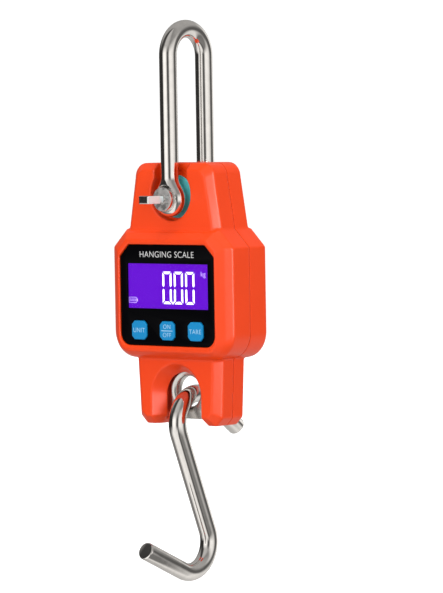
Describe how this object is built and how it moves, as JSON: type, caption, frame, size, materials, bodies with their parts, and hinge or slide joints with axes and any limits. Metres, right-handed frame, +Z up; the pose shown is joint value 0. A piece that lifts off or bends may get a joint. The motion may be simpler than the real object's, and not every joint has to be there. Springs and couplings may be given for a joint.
{
  "type": "hanging crane scale",
  "caption": "Digital hanging scale with a pinned D shackle above, an S hook below, a lit display and three keys in a narrow-necked case.",
  "frame": {"origin": "inside top of the shackle bow, where the scale hangs", "axes": "+Z up, display faces -Y, +X to the right of someone reading the display"},
  "size_m": [0.0724, 0.0694, 0.2572],
  "materials": {
    "polished_steel": "polished stainless steel",
    "orange_plastic": "fine textured ABS",
    "black_panel": "satin black film on polycarbonate",
    "clear_window": "clear acrylic",
    "lcd_glass": "lit violet LCD",
    "white_plastic": "moulded white",
    "grey_rubber": "soft",
    "green_board": "solder mask",
    "black_plastic": "moulded",
    "zinc_steel": "zinc plated",
    "blue_key": "silicone-soft blue keys",
    "cell_alloy": "machined and tumbled alloy",
    "gauge_film": "polyimide film",
    "teal_bush": "turned nylon",
    "battery_jacket": "plain foil jacket"
  },
  "bodies": {
    "shackle": {"shackle_bow": "polished_steel"},
    "pin_carrier": {"pin_washer": "polished_steel"},
    "pin": {"shackle_pin": "polished_steel"},
    "hook": {"weighing_hook": "polished_steel"},
    "unit_button": {"unit_key": "blue_key"},
    "power_button": {"power_key": "blue_key"},
    "tare_button": {"tare_key": "blue_key"},
    "door": {"battery_door": "orange_plastic"},
    "scale_body": {"front_shell": "orange_plastic", "rear_shell": "orange_plastic", "front_panel": "black_panel", "display_lens": "clear_window", "lcd_glass": "lcd_glass", "lcd_backlight": "white_plastic", "lcd_frame": "white_plastic", "contact_strip": "grey_rubber", "main_board": "green_board", "key_switches": "black_plastic", "board_chips": "black_plastic", "beeper": "black_plastic", "board_screws": "zinc_steel", "case_screws": "zinc_steel", "load_cell": "cell_alloy", "strain_gauges": "gauge_film", "terminal_strip": "green_board", "sensor_lead": "grey_rubber", "bush_front": "teal_bush", "bush_rear": "teal_bush", "battery_cells": "battery_jacket", "battery_springs": "zinc_steel", "battery_plates": "zinc_steel"}
  },
  "joints": [
    {"name": "pin_slide", "type": "slide", "parent": "shackle", "child": "pin_carrier", "axis": [0, -1, 0], "range_m": [0, 0.0076]},
    {"name": "pin_turn", "type": "hinge", "parent": "pin_carrier", "child": "pin", "pos_m": [0, 0, -0.0734], "axis": [0, -1, 0], "range_deg": [0, 2160]},
    {"name": "body_swing", "type": "hinge", "parent": "shackle", "child": "scale_body", "pos_m": [0, 0, -0.0734], "axis": [0, 1, 0], "range_deg": [-15, 15]},
    {"name": "hook_swing", "type": "hinge", "parent": "scale_body", "child": "hook", "pos_m": [0, 0, -0.1619], "axis": [0, 1, 0], "range_deg": [-18, 18]},
    {"name": "unit_press", "type": "slide", "parent": "scale_body", "child": "unit_button", "axis": [0, 1, 0], "range_m": [0, 0.0006], "stiffness_N_per_m": 1500, "springref_m": -0.0005},
    {"name": "power_press", "type": "slide", "parent": "scale_body", "child": "power_button", "axis": [0, 1, 0], "range_m": [0, 0.0006], "stiffness_N_per_m": 1500, "springref_m": -0.0005},
    {"name": "tare_press", "type": "slide", "parent": "scale_body", "child": "tare_button", "axis": [0, 1, 0], "range_m": [0, 0.0006], "stiffness_N_per_m": 1500, "springref_m": -0.0005},
    {"name": "door_slide", "type": "slide", "parent": "scale_body", "child": "door", "axis": [0, 0, -1], "range_m": [0, 0.012]}
  ],
  "couplings": [
    {"joint": "pin_slide", "follows": "pin_turn", "m_per_rad": 0.00019894}
  ]
}
